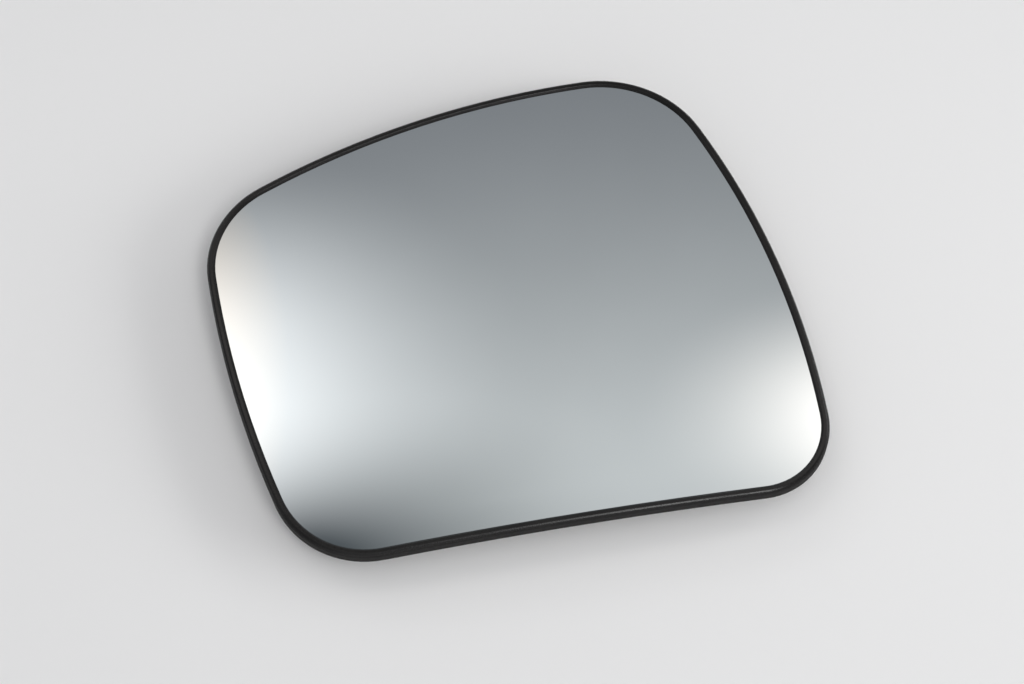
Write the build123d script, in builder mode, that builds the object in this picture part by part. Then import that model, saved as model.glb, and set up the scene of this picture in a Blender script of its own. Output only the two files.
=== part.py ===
"""Convex door mirror glass on its clip-on backing plate.

The pane is a cap of a large sphere, and every layer behind it is cut by spheres about the same centre,
so the layers seat face to face. The part lies glass up: +Z is the way the mirror faces, X runs along its
bottom edge, and Z = 0 is the end of the collar that clips onto the mirror's actuator.
All lengths are in millimetres.
"""

import os

from build123d import *

# Corners of the rim outline before rounding, seen from the front: how far each lies to its side of the
# collar's axis, and above or below it
bottom_left_reach = 80.7
bottom_right_reach = 97.7
top_left_reach = 99.7
top_right_reach = 69.2
bottom_depth = 84.8
top_left_height = 51.7
top_right_height = 84.1

# How far three sides bulge from their chords, and how far the bottom one is hollow
left_bulge = 6.5
top_bulge = 10.7
right_bulge = 12.1
bottom_hollow = 0.8

# Corner radii of the rim outline
bottom_left_radius = 33.6
top_left_radius = 34.7
top_right_radius = 39.9
bottom_right_radius = 26.5

# Layers, from the front
face_radius = 1200.0
glass_thickness = 2.0
pad_thickness = 0.6
plate_thickness = 1.4

# Rim, with a lip that covers the edge of the pane, stands proud of its face and slopes down to it. The outer
# edge of the crest is rounded by a bevel whose own two edges are broken.
rim_wall = 1.5
lip_cover = 1.4
lip_rise = 0.85
lip_slope = 0.7
crest_bevel = 0.88
crest_bevel_break = 0.32
rim_foot_break = 0.6

# Fits and edges of the pane and the pad
glass_gap = 0.15
glass_edge_break = 0.3
pad_ledge = 5.0
pad_gap = 0.3

# Collar and its spring claws
collar_bore_radius = 32.0
collar_wall = 2.0
collar_depth = 15.6
collar_lead_in = 0.8
claw_count = 8
claw_width = 13.0
claw_length = 11.0
claw_slot = 1.5
claw_set_back = 0.5
hook_reach = 1.0
hook_lead = 1.2
hook_land = 2.0
hook_back = 0.6
key_width = 4.0
key_depth = 1.0

# Ribs on the back of the plate
rib_thickness = 1.5
rib_height = 3.0
ring_rib_radius = 58.0
edge_rib_inset = 7.0
gusset_height = 8.0
gusset_reach = 11.0

# Radial length of the shapes that cut the collar into claws
cutter_length = 12.0

# Radii of the concentric spheres
crest_radius = face_radius + lip_rise
ledge_radius = face_radius - glass_thickness
floor_radius = ledge_radius - pad_thickness
rear_radius = floor_radius - plate_thickness
plate_middle_radius = rear_radius + plate_thickness / 2
rib_foot_radius = rear_radius - rib_height

# Heights above the end of the collar
face_height = collar_depth + plate_thickness + pad_thickness + glass_thickness
stock_height = face_height + 2 * lip_rise
sphere_centre = (0, 0, face_height - face_radius)

# Insets from the rim outline
lip_inset = rim_wall + lip_cover
glass_inset = rim_wall + glass_gap
recess_inset = glass_inset + pad_ledge
pad_inset = recess_inset + pad_gap

# Circles and angles of the collar
collar_outer_radius = collar_bore_radius + collar_wall
collar_middle_radius = collar_bore_radius + collar_wall / 2
throat_radius = collar_bore_radius - hook_reach
first_claw_angle = 180 / claw_count

# A sphere turned like this has its poles and its seam clear of the part
poles_aside = (0, 90, 0)


def cut_sphere(radius, mode):
    """Cuts the part being built with one of the concentric spheres."""
    with Locations(sphere_centre):
        Sphere(radius, rotation=poles_aside, mode=mode)


def trim_to_layer(back_radius, front_radius):
    """Keeps what lies between two of the concentric spheres in the part being built."""
    cut_sphere(front_radius, Mode.INTERSECT)
    cut_sphere(back_radius, Mode.SUBTRACT)


def sphere_face(radius):
    """Returns the face of the part being built that lies on one of the concentric spheres."""
    return faces().filter_by(GeomType.SPHERE).sort_by(lambda face: abs(face.radius - radius))[0]


def wall_tops():
    """Returns the upper edges of the upright walls of the part being built."""
    return ShapeList(wall.edges().sort_by(Axis.Z)[-1] for wall in faces().filter_by(GeomType.CYLINDER))


def claw_plan(width, mode=Mode.ADD):
    """Draws one rectangle across the collar at each claw in the sketch being built."""
    with PolarLocations(collar_middle_radius, claw_count, start_angle=first_claw_angle):
        Rectangle(cutter_length, width, mode=mode)


# Sides of the rim outline, clockwise, and its corners
bottom_left = (-bottom_left_reach, -bottom_depth)
top_left = (-top_left_reach, top_left_height)
top_right = (top_right_reach, top_right_height)
bottom_right = (bottom_right_reach, -bottom_depth)

left_side = SagittaArc(bottom_left, top_left, left_bulge)
top_side = SagittaArc(top_left, top_right, top_bulge)
right_side = SagittaArc(top_right, bottom_right, right_bulge)
bottom_side = SagittaArc(bottom_right, bottom_left, -bottom_hollow)

corner_radii = {
    bottom_left: bottom_left_radius,
    top_left: top_left_radius,
    top_right: top_right_radius,
    bottom_right: bottom_right_radius,
}


def rim_outline(inset=0.0):
    """Returns the rim outline moved in by inset: what the three bulging sides' discs share, less the
    disc of the hollow bottom side, with the corners rounded."""
    with BuildSketch(mode=Mode.PRIVATE) as outline:
        with Locations(left_side.arc_center):
            Circle(left_side.radius - inset)
        with Locations(top_side.arc_center):
            Circle(top_side.radius - inset, mode=Mode.INTERSECT)
        with Locations(right_side.arc_center):
            Circle(right_side.radius - inset, mode=Mode.INTERSECT)
        with Locations(bottom_side.arc_center):
            Circle(bottom_side.radius + inset, mode=Mode.SUBTRACT)
        for corner, radius in corner_radii.items():
            fillet(outline.vertices().sort_by_distance(corner)[0], radius - inset)
    return outline.sketch


# Convex pane with its edges broken
with BuildPart() as mirror_glass:
    with BuildSketch():
        add(rim_outline(glass_inset))
    extrude(amount=stock_height)
    trim_to_layer(ledge_radius, face_radius)
    chamfer(sphere_face(face_radius).edges() + sphere_face(ledge_radius).edges(), glass_edge_break)

# Double-sided foam sheet that bonds the pane to the plate
with BuildPart() as adhesive_pad:
    with BuildSketch():
        add(rim_outline(pad_inset))
    extrude(amount=stock_height)
    trim_to_layer(floor_radius, ledge_radius)

# Spaces in the plate for the opening in the lip, the pane and the pad
with BuildPart() as lip_opening:
    with BuildSketch():
        add(rim_outline(lip_inset))
    extrude(amount=stock_height)
    cut_sphere(face_radius - glass_thickness / 2, Mode.SUBTRACT)

with BuildPart() as pane_space:
    with BuildSketch():
        add(rim_outline(rim_wall))
    extrude(amount=stock_height)
    trim_to_layer(ledge_radius, face_radius)

with BuildPart() as pad_space:
    with BuildSketch():
        add(rim_outline(recess_inset))
    extrude(amount=stock_height)
    trim_to_layer(floor_radius, ledge_radius + glass_thickness / 2)

# Dished plate with the rim, and core holes in its floor above the hooks
with BuildPart() as dish:
    with BuildSketch():
        add(rim_outline())
    extrude(amount=stock_height)
    trim_to_layer(rear_radius, crest_radius)
    chamfer(sphere_face(rear_radius).edges(), rim_foot_break)
    chamfer(sphere_face(crest_radius).edges(), crest_bevel)
    chamfer(sphere_face(crest_radius).edges() + wall_tops(), crest_bevel_break)
    add(lip_opening.part, mode=Mode.SUBTRACT)
    chamfer(sphere_face(crest_radius).inner_wires()[0].edges(), lip_slope)
    add(pane_space.part, mode=Mode.SUBTRACT)
    add(pad_space.part, mode=Mode.SUBTRACT)
    with BuildSketch():
        Circle(collar_bore_radius)
        Circle(throat_radius, mode=Mode.SUBTRACT)
        claw_plan(claw_width, mode=Mode.INTERSECT)
    extrude(amount=stock_height, mode=Mode.SUBTRACT)

# Ribs on the back: spokes, a ring and one that follows the rim
spoke_length = rim_outline().bounding_box().diagonal

with BuildSketch() as edge_rib_plan:
    add(rim_outline(edge_rib_inset))
    add(rim_outline(edge_rib_inset + rib_thickness), mode=Mode.SUBTRACT)

with BuildPart() as ribs:
    with BuildSketch():
        Circle(ring_rib_radius + rib_thickness / 2)
        Circle(ring_rib_radius - rib_thickness / 2, mode=Mode.SUBTRACT)
        with PolarLocations(0, claw_count):
            Rectangle(spoke_length, rib_thickness, align=(Align.MIN, Align.CENTER))
        Circle(collar_middle_radius, mode=Mode.SUBTRACT)
        add(rim_outline(edge_rib_inset), mode=Mode.INTERSECT)
        add(edge_rib_plan.sketch)
    extrude(amount=stock_height)
    trim_to_layer(rib_foot_radius, plate_middle_radius)

# Gusset between the collar and the plate, one at the root of each spoke
with BuildPart() as gusset:
    with BuildSketch(Plane.XZ):
        with BuildLine():
            Polyline(
                (collar_middle_radius, collar_depth - gusset_height),
                (collar_outer_radius, collar_depth - gusset_height),
                (collar_outer_radius + gusset_reach, collar_depth - rib_height),
                (collar_outer_radius + gusset_reach, stock_height),
                (collar_middle_radius, stock_height),
                close=True,
            )
        make_face()
    extrude(amount=rib_thickness / 2, both=True)
    cut_sphere(plate_middle_radius, Mode.INTERSECT)

# Inward hooks at the tips of the claws
hook_tip = claw_set_back + hook_lead
hook_top = hook_tip + hook_land

with BuildPart() as hooks:
    with BuildSketch(Plane.XZ):
        with BuildLine():
            Polyline(
                (collar_middle_radius, claw_set_back),
                (collar_bore_radius, claw_set_back),
                (throat_radius, hook_tip),
                (throat_radius, hook_top),
                (collar_bore_radius, hook_top + hook_back),
                (collar_middle_radius, hook_top + hook_back),
                close=True,
            )
        make_face()
    revolve(axis=Axis.Z)
    with BuildSketch():
        claw_plan(claw_width)
    extrude(amount=collar_depth, mode=Mode.INTERSECT)

# Collar slotted into claws, which stop short of its end, and a key groove in its bore
with BuildPart() as collar:
    with BuildSketch():
        Circle(collar_outer_radius)
        Circle(collar_bore_radius, mode=Mode.SUBTRACT)
    extrude(amount=collar_depth)
    mouth = collar.faces().sort_by(Axis.Z)[0].inner_wires()[0]
    chamfer(mouth.edges(), collar_lead_in)
    with BuildSketch():
        claw_plan(claw_width + 2 * claw_slot)
        claw_plan(claw_width, mode=Mode.SUBTRACT)
    extrude(amount=claw_length, mode=Mode.SUBTRACT)
    with BuildSketch():
        claw_plan(claw_width + claw_slot)
    extrude(amount=claw_set_back, mode=Mode.SUBTRACT)
    with BuildSketch():
        with Locations((0, -collar_bore_radius)):
            Rectangle(key_width, 2 * key_depth)
    extrude(amount=claw_length, mode=Mode.SUBTRACT)
    add(hooks.part)

# Backing plate, one moulding
with BuildPart() as backing_plate:
    add(dish.part)
    add(ribs.part)
    with PolarLocations(0, claw_count):
        add(gusset.part)
    add(collar.part)

# One STEP file for each piece
mirror_glass.part.label = "mirror_glass"
backing_plate.part.label = "backing_plate"
adhesive_pad.part.label = "adhesive_pad"

os.makedirs("parts", exist_ok=True)
export_step(mirror_glass.part, "parts/mirror_glass.step")
export_step(backing_plate.part, "parts/backing_plate.step")
export_step(adhesive_pad.part, "parts/adhesive_pad.step")
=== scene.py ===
"""Looks of the door mirror glass: a smooth convex pane, moulded plastic, a floor, light and the camera.

All lengths are in metres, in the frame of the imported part, and all angles in degrees.
"""

import math

import bmesh
import bpy
from mathutils import Matrix, Vector


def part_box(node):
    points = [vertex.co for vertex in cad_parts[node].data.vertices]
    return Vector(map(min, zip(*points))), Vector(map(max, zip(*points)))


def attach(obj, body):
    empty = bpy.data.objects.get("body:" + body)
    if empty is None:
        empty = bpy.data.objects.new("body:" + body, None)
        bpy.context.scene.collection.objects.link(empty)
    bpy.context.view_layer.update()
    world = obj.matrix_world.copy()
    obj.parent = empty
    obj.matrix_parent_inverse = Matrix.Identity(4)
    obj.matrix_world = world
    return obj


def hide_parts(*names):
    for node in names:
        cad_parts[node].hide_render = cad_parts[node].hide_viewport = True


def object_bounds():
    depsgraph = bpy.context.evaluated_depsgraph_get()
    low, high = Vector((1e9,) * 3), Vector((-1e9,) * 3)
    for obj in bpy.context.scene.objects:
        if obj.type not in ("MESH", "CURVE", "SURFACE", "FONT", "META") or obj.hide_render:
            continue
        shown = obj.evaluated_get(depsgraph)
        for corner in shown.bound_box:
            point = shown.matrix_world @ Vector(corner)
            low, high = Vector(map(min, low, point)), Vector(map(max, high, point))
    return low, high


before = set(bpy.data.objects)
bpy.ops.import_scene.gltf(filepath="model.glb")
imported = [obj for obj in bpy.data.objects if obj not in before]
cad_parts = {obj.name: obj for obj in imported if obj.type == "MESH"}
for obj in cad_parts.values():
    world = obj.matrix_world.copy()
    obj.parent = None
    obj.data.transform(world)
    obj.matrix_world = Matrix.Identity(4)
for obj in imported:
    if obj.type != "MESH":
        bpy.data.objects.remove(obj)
cad_low, cad_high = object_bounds()

# Camera: its direction from the part, its distance from the top of the pane along the view, and the pixel
# of the picture at which the top of the pane lies
picture_width = 1024
picture_height = 684
camera_azimuth = -10.0
camera_elevation = 63.0
camera_distance = 0.8274
camera_lens_mm = 85.0
camera_sensor_mm = 36.0
pane_top_pixel = (506.9, 299.0)

# Pane: radius of its face, its thickness and broken edges, and the fineness of its mesh. The last two are for
# reading its outline from the CAD pane: how little its side wall faces up, and how near two points are one.
face_radius = 1.2
pane_thickness = 0.002
pane_edge_break = 0.0003
pane_column_step = 0.002
pane_face_rings = 48
pane_back_rings = 12
upright_limit = 0.05
same_point = 0.00001

# Finish of the mirror face, the painted back of the pane, the plastic, the foam and the floor. A colour or a
# value spreads between its limits over the given part of a noise's or a facing's range.
spread_part = (0.3, 0.7)
silver_light = (0.80, 0.84, 0.845)
silver_dark = (0.78, 0.82, 0.825)
silver_cloud_size = 0.04
silver_roughness = (0.008, 0.02)
backing_light = (0.13, 0.13, 0.135)
backing_dark = (0.08, 0.08, 0.085)
backing_speck_size = 0.0012
backing_roughness = 0.6
plastic_light = (0.0106, 0.0096, 0.0089)
plastic_dark = (0.0062, 0.0056, 0.0052)
plastic_tone_size = 0.012
plastic_tone_detail = 4.0
plastic_specular = 0.33
plastic_wall_roughness = 0.75
plastic_crest_roughness = 0.22
plastic_uneven_roughness = (-0.06, 0.06)
plastic_grain_size = 0.0005
plastic_grain_depth = 0.00002
plastic_edge_radius = 0.0003
plastic_edge_samples = 8
foam_light = (0.15, 0.15, 0.155)
foam_dark = (0.09, 0.09, 0.095)
foam_cell_size = 0.0009
foam_cell_depth = 0.0001
foam_roughness = 0.9
floor_light = (0.885, 0.879, 0.870)
floor_dark = (0.875, 0.869, 0.860)
floor_cloud_size = 0.3
floor_roughness = 0.8
floor_specular = 0.2
floor_size = 24.0
floor_drop = 0.00005

# Studio ceiling: an even light, and soft lamps on it. A lamp's middle and half widths are in heights of the
# ceiling, to the right and to the far side. Then come its brightness and how it falls off to its edge. The
# dark gap takes light away, down to the least light, and the walls are lamps low round the part. A ray that
# rises less than the lowest ray is taken to rise that much.
studio_even_light = (0.229, 0.238, 0.256)
studio_least_light = (0.024, 0.024, 0.024)
studio_lamps = {
    "far_strip": ((0.04, 0.29), (4.0, 0.69), (0.473, 0.476, 0.466), 2.0),
    "left_lamp": ((-0.40, 0.47), (0.53, 0.42), (2.17, 2.13, 2.15), 2.0),
    "left_glow": ((-0.26, 0.55), (0.12, 0.30), (0.36, 0.19, 0.03), 1.0),
    "right_lamp": ((0.51, 0.335), (0.333, 0.197), (1.98, 1.78, 1.66), 2.0),
    "dark_gap": ((-0.27, 0.264), (0.50, 0.19), (-1.55, -1.545, -1.545), 2.0),
    "overhead_box": ((-0.10, -0.25), (0.65, 0.46), (1.15, 1.15, 1.15), 1.0),
    "overhead_strip": ((0.29, -0.68), (0.24, 0.42), (11.5, 11.5, 11.5), 1.0),
    "low_right_lamp": ((1.80, 0.60), (0.65, 0.65), (3.8, 3.8, 3.8), 1.0),
    "far_left_lamp": ((-0.80, 1.36), (1.00, 0.50), (2.1, 2.1, 2.1), 1.0),
    "far_wall": ((0.8, 4.6), (4.5, 3.0), (0.80, 0.80, 0.80), 1.0),
    "right_wall": ((4.6, -0.8), (3.0, 4.5), (0.55, 0.55, 0.55), 1.0),
    "near_wall": ((-1.0, -3.6), (4.5, 2.8), (1.1, 1.1, 1.1), 1.0),
    "left_wall": ((-4.6, 0.8), (3.0, 4.5), (0.45, 0.45, 0.45), 1.0),
}
lowest_ray = 0.02

# Side lamp, low at the right and a little to the near side, with its beam kept off the floor beneath it
side_lamp_azimuth = 70.0
side_lamp_elevation = 22.0
side_lamp_distance = 1.10
side_lamp_size = (0.88, 0.44)
side_lamp_power = 0.85
side_lamp_spread = 60.0


def add_math(tree, kind, operation, values):
    """Adds a node for an operation on sockets or plain values, and returns it."""
    node = tree.nodes.new(kind)
    node.operation = operation
    for target, value in zip(node.inputs, values):
        if isinstance(value, bpy.types.NodeSocket):
            tree.links.new(value, target)
        else:
            target.default_value = value
    return node


def number_math(tree, operation, *values):
    """Returns the socket of an operation on numbers."""
    return add_math(tree, "ShaderNodeMath", operation, values).outputs["Value"]


def vector_math(tree, operation, *values):
    """Returns the socket of an operation on vectors that makes a vector."""
    return add_math(tree, "ShaderNodeVectorMath", operation, values).outputs["Vector"]


def vector_length(tree, vector):
    """Returns the socket of a vector's length."""
    return add_math(tree, "ShaderNodeVectorMath", "LENGTH", [vector]).outputs["Value"]


def scale(tree, vector, factor):
    """Returns the socket of a vector times the number of a socket."""
    node = add_math(tree, "ShaderNodeVectorMath", "SCALE", [vector])
    tree.links.new(factor, node.inputs["Scale"])
    return node.outputs["Vector"]


def new_material(name):
    """Returns a new material with its node tree and its surface node."""
    material = bpy.data.materials.new(name)
    material.use_nodes = True
    return material, material.node_tree, material.node_tree.nodes["Principled BSDF"]


def noise(tree, size, detail=2.0):
    """Adds noise with features of about that size, and returns its socket."""
    place = tree.nodes.new("ShaderNodeTexCoord")
    texture = tree.nodes.new("ShaderNodeTexNoise")
    texture.inputs["Scale"].default_value = 1 / size
    texture.inputs["Detail"].default_value = detail
    tree.links.new(place.outputs["Object"], texture.inputs["Vector"])
    return texture.outputs["Fac"]


def spread_colour(tree, factor, dark, light, target):
    """Sends a colour between dark and light to the target socket."""
    ramp = tree.nodes.new("ShaderNodeValToRGB")
    for element, position, colour in zip(ramp.color_ramp.elements, spread_part, (dark, light)):
        element.position = position
        element.color = (*colour, 1)
    tree.links.new(factor, ramp.inputs["Fac"])
    tree.links.new(ramp.outputs["Color"], target)


def spread_value(tree, factor, limits):
    """Returns the socket of a value between the two limits."""
    fit = tree.nodes.new("ShaderNodeMapRange")
    fit.inputs["From Min"].default_value, fit.inputs["From Max"].default_value = spread_part
    fit.inputs["To Min"].default_value, fit.inputs["To Max"].default_value = limits
    tree.links.new(factor, fit.inputs["Value"])
    return fit.outputs["Result"]


def bump(tree, height, depth, surface):
    """Raises the surface by height times depth, and returns the node."""
    relief = tree.nodes.new("ShaderNodeBump")
    relief.inputs["Distance"].default_value = depth
    tree.links.new(height, relief.inputs["Height"])
    tree.links.new(relief.outputs["Normal"], surface.inputs["Normal"])
    return relief


def mirror_silver():
    """Silvered face: a slightly cool metal with faint clouds in its polish."""
    material, tree, surface = new_material("mirror_silver")
    surface.inputs["Metallic"].default_value = 1.0
    cloud = noise(tree, silver_cloud_size)
    spread_colour(tree, cloud, silver_dark, silver_light, surface.inputs["Base Color"])
    tree.links.new(spread_value(tree, cloud, silver_roughness), surface.inputs["Roughness"])
    return material


def pane_backing():
    """Grey paint on the back and the ground edge of the pane."""
    material, tree, surface = new_material("pane_backing")
    surface.inputs["Roughness"].default_value = backing_roughness
    speck = noise(tree, backing_speck_size)
    spread_colour(tree, speck, backing_dark, backing_light, surface.inputs["Base Color"])
    return material


def black_plastic():
    """Moulded plastic with a fine grain, softened edges, and more sheen where it faces up."""
    material, tree, surface = new_material("black_plastic_grain")
    surface.inputs["Specular IOR Level"].default_value = plastic_specular
    tone = noise(tree, plastic_tone_size, plastic_tone_detail)
    spread_colour(tree, tone, plastic_dark, plastic_light, surface.inputs["Base Color"])
    grain = noise(tree, plastic_grain_size)
    geometry = tree.nodes.new("ShaderNodeNewGeometry")
    facing = tree.nodes.new("ShaderNodeSeparateXYZ")
    tree.links.new(geometry.outputs["Normal"], facing.inputs["Vector"])
    wall_to_crest = (plastic_wall_roughness, plastic_crest_roughness)
    by_facing = spread_value(tree, facing.outputs["Z"], wall_to_crest)
    by_grain = spread_value(tree, grain, plastic_uneven_roughness)
    tree.links.new(number_math(tree, "ADD", by_facing, by_grain), surface.inputs["Roughness"])
    edge = tree.nodes.new("ShaderNodeBevel")
    edge.samples = plastic_edge_samples
    edge.inputs["Radius"].default_value = plastic_edge_radius
    relief = bump(tree, grain, plastic_grain_depth, surface)
    tree.links.new(edge.outputs["Normal"], relief.inputs["Normal"])
    return material


def adhesive_foam():
    """Closed-cell foam with small round cells."""
    material, tree, surface = new_material("adhesive_foam_cells")
    surface.inputs["Roughness"].default_value = foam_roughness
    place = tree.nodes.new("ShaderNodeTexCoord")
    cells = tree.nodes.new("ShaderNodeTexVoronoi")
    cells.inputs["Scale"].default_value = 1 / foam_cell_size
    tree.links.new(place.outputs["Object"], cells.inputs["Vector"])
    spread_colour(tree, cells.outputs["Distance"], foam_dark, foam_light, surface.inputs["Base Color"])
    bump(tree, cells.outputs["Distance"], foam_cell_depth, surface)
    return material


def pale_floor():
    """Matt pale floor."""
    material, tree, surface = new_material("pale_floor")
    surface.inputs["Roughness"].default_value = floor_roughness
    surface.inputs["Specular IOR Level"].default_value = floor_specular
    cloud = noise(tree, floor_cloud_size)
    spread_colour(tree, cloud, floor_dark, floor_light, surface.inputs["Base Color"])
    return material


def add_mesh(name, shape, materials):
    """Turns a finished bmesh into an object of the scene."""
    mesh = bpy.data.meshes.new(name)
    shape.to_mesh(mesh)
    shape.free()
    for material in materials:
        mesh.materials.append(material)
    piece = bpy.data.objects.new(name, mesh)
    bpy.context.scene.collection.objects.link(piece)
    return piece


def pane_outline():
    """Returns evenly spaced points along the side wall of the CAD pane, in order round its axis."""
    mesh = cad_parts["mirror_glass"].data
    wall = []
    for face in mesh.polygons:
        if abs(face.normal.z) < upright_limit:
            wall += [mesh.vertices[index].co.xy for index in face.vertices]
    wall.sort(key=lambda point: math.atan2(point.y, point.x))
    corners = [wall[0]]
    for point in wall:
        if (point - corners[-1]).length > same_point and (point - corners[0]).length > same_point:
            corners.append(point)
    corners.append(corners[0])
    reach = [0.0]
    for start, end in zip(corners, corners[1:]):
        reach.append(reach[-1] + (end - start).length)
    count = round(reach[-1] / pane_column_step)
    points = []
    side = 0
    for step in range(count):
        along = reach[-1] * step / count
        while reach[side + 1] < along:
            side += 1
        share = (along - reach[side]) / (reach[side + 1] - reach[side])
        points.append(corners[side].lerp(corners[side + 1], share))
    return points


def add_pane():
    """Convex pane: rings from the middle of its face, down its side, to the middle of its back."""
    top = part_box("mirror_glass")[1].z
    outline = pane_outline()
    break_line = [point - point.normalized() * pane_edge_break for point in outline]
    back_radius = face_radius - pane_thickness
    middle = Vector((0, 0))
    silver = 0
    backing = 1
    shape = bmesh.new()

    def on_sphere(point, radius, lift=0.0):
        drop = face_radius - math.sqrt(radius**2 - point.length_squared)
        return shape.verts.new((point.x, point.y, top - drop + lift))

    def dome(radius, ring_count):
        return [
            [on_sphere(point * ring / ring_count, radius) for point in break_line]
            for ring in range(1, ring_count + 1)
        ]

    def add_face(corners, material):
        face = shape.faces.new(corners)
        face.material_index = material
        face.smooth = True

    def join(rings, material):
        for ring, next_ring in zip(rings, rings[1:]):
            for column in range(len(ring)):
                add_face((ring[column - 1], next_ring[column - 1], next_ring[column], ring[column]), material)

    def close(tip, ring, material, upwards):
        for column in range(len(ring)):
            pair = (ring[column - 1], ring[column])
            add_face((tip, *(pair if upwards else reversed(pair))), material)

    face_rings = dome(face_radius, pane_face_rings)
    wall_top = [on_sphere(point, face_radius, -pane_edge_break) for point in outline]
    wall_foot = [on_sphere(point, back_radius, pane_edge_break) for point in outline]
    back_rings = dome(back_radius, pane_back_rings)[::-1]
    side_rings = [face_rings[-1], wall_top, wall_foot, back_rings[0]]

    close(on_sphere(middle, face_radius), face_rings[0], silver, True)
    join(face_rings, silver)
    join(side_rings, backing)
    join(back_rings, backing)
    close(on_sphere(middle, back_radius), back_rings[-1], backing, False)

    for ring in side_rings:
        for column in range(len(ring)):
            shape.edges.get((ring[column - 1], ring[column])).smooth = False

    pane = add_mesh("mirror_pane", shape, [mirror_silver(), pane_backing()])
    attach(pane, "root")
    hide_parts("mirror_glass")


def finish_plate():
    """Gives the CAD plate and foam sheet their materials."""
    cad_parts["backing_plate"].material_slots[0].material = black_plastic()
    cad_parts["adhesive_pad"].material_slots[0].material = adhesive_foam()


def add_floor():
    """Pale floor under the collar."""
    shape = bmesh.new()
    bmesh.ops.create_grid(shape, x_segments=1, y_segments=1, size=floor_size / 2)
    floor = add_mesh("floor", shape, [pale_floor()])
    floor.location.z = cad_low.z - floor_drop


def soft_lamp(tree, ceiling_place, middle, half_width, brightness, falloff):
    """Returns the light of one soft lamp on the ceiling."""
    offset = vector_math(tree, "SUBTRACT", ceiling_place, (*middle, 1))
    reach = vector_length(tree, vector_math(tree, "DIVIDE", offset, (*half_width, 1)))
    inside = number_math(tree, "MAXIMUM", number_math(tree, "SUBTRACT", 1.0, reach), 0.0)
    return scale(tree, brightness, number_math(tree, "POWER", inside, falloff))


def light_studio():
    """World light: the even light of the studio with the soft lamps on its ceiling."""
    world = bpy.data.worlds.new("studio")
    world.use_nodes = True
    tree = world.node_tree
    ray = tree.nodes.new("ShaderNodeTexCoord").outputs["Generated"]
    parts = tree.nodes.new("ShaderNodeSeparateXYZ")
    tree.links.new(ray, parts.inputs["Vector"])
    height = number_math(tree, "MAXIMUM", parts.outputs["Z"], lowest_ray)
    ceiling = scale(tree, ray, number_math(tree, "DIVIDE", 1.0, height))
    flat = vector_math(tree, "MULTIPLY", ceiling, (1, 1, 0))
    place = vector_math(tree, "ADD", flat, (0, 0, 1))
    light = studio_even_light
    for lamp in studio_lamps.values():
        light = vector_math(tree, "ADD", light, soft_lamp(tree, place, *lamp))
    light = vector_math(tree, "MAXIMUM", light, studio_least_light)
    tree.links.new(light, tree.nodes["Background"].inputs["Color"])
    bpy.context.scene.world = world


def direction(azimuth, elevation):
    """Returns the way to a point at that azimuth, from the near side's -Y towards +X, and elevation."""
    turn = math.radians(azimuth)
    rise = math.radians(elevation)
    return Vector((math.sin(turn) * math.cos(rise), -math.cos(turn) * math.cos(rise), math.sin(rise)))


def light_side():
    """Soft lamp low at the right, which draws the shadows to the left and which the pane doesn't show."""
    lamp = bpy.data.lights.new("side_lamp", "AREA")
    lamp.shape = "RECTANGLE"
    lamp.size, lamp.size_y = side_lamp_size
    lamp.energy = side_lamp_power
    lamp.spread = math.radians(side_lamp_spread)
    holder = bpy.data.objects.new("side_lamp", lamp)
    way = direction(side_lamp_azimuth, side_lamp_elevation)
    holder.location = way * side_lamp_distance
    holder.rotation_euler = way.to_track_quat("Z", "Y").to_euler()
    holder.visible_camera = False
    holder.visible_glossy = False
    bpy.context.scene.collection.objects.link(holder)


def add_camera():
    """Camera placed so that the top of the pane falls on its pixel of the picture."""
    lens = bpy.data.cameras.new("camera")
    lens.lens = camera_lens_mm
    lens.sensor_width = camera_sensor_mm
    camera = bpy.data.objects.new("camera", lens)
    bpy.context.scene.collection.objects.link(camera)
    back = direction(camera_azimuth, camera_elevation)
    right = Vector((0, 0, 1)).cross(back).normalized()
    up = back.cross(right)
    pixel = camera_sensor_mm / camera_lens_mm / picture_width
    aside = (pane_top_pixel[0] - picture_width / 2) * pixel
    below = (pane_top_pixel[1] - picture_height / 2) * pixel
    pane_top = Vector((0, 0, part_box("mirror_glass")[1].z))
    place = pane_top + camera_distance * (back - aside * right + below * up)
    axes = Matrix((right, up, back)).transposed().to_4x4()
    camera.matrix_world = Matrix.Translation(place) @ axes
    bpy.context.scene.camera = camera


add_pane()
finish_plate()
add_floor()
light_studio()
light_side()
add_camera()
bpy.context.scene.view_settings.view_transform = "Standard"
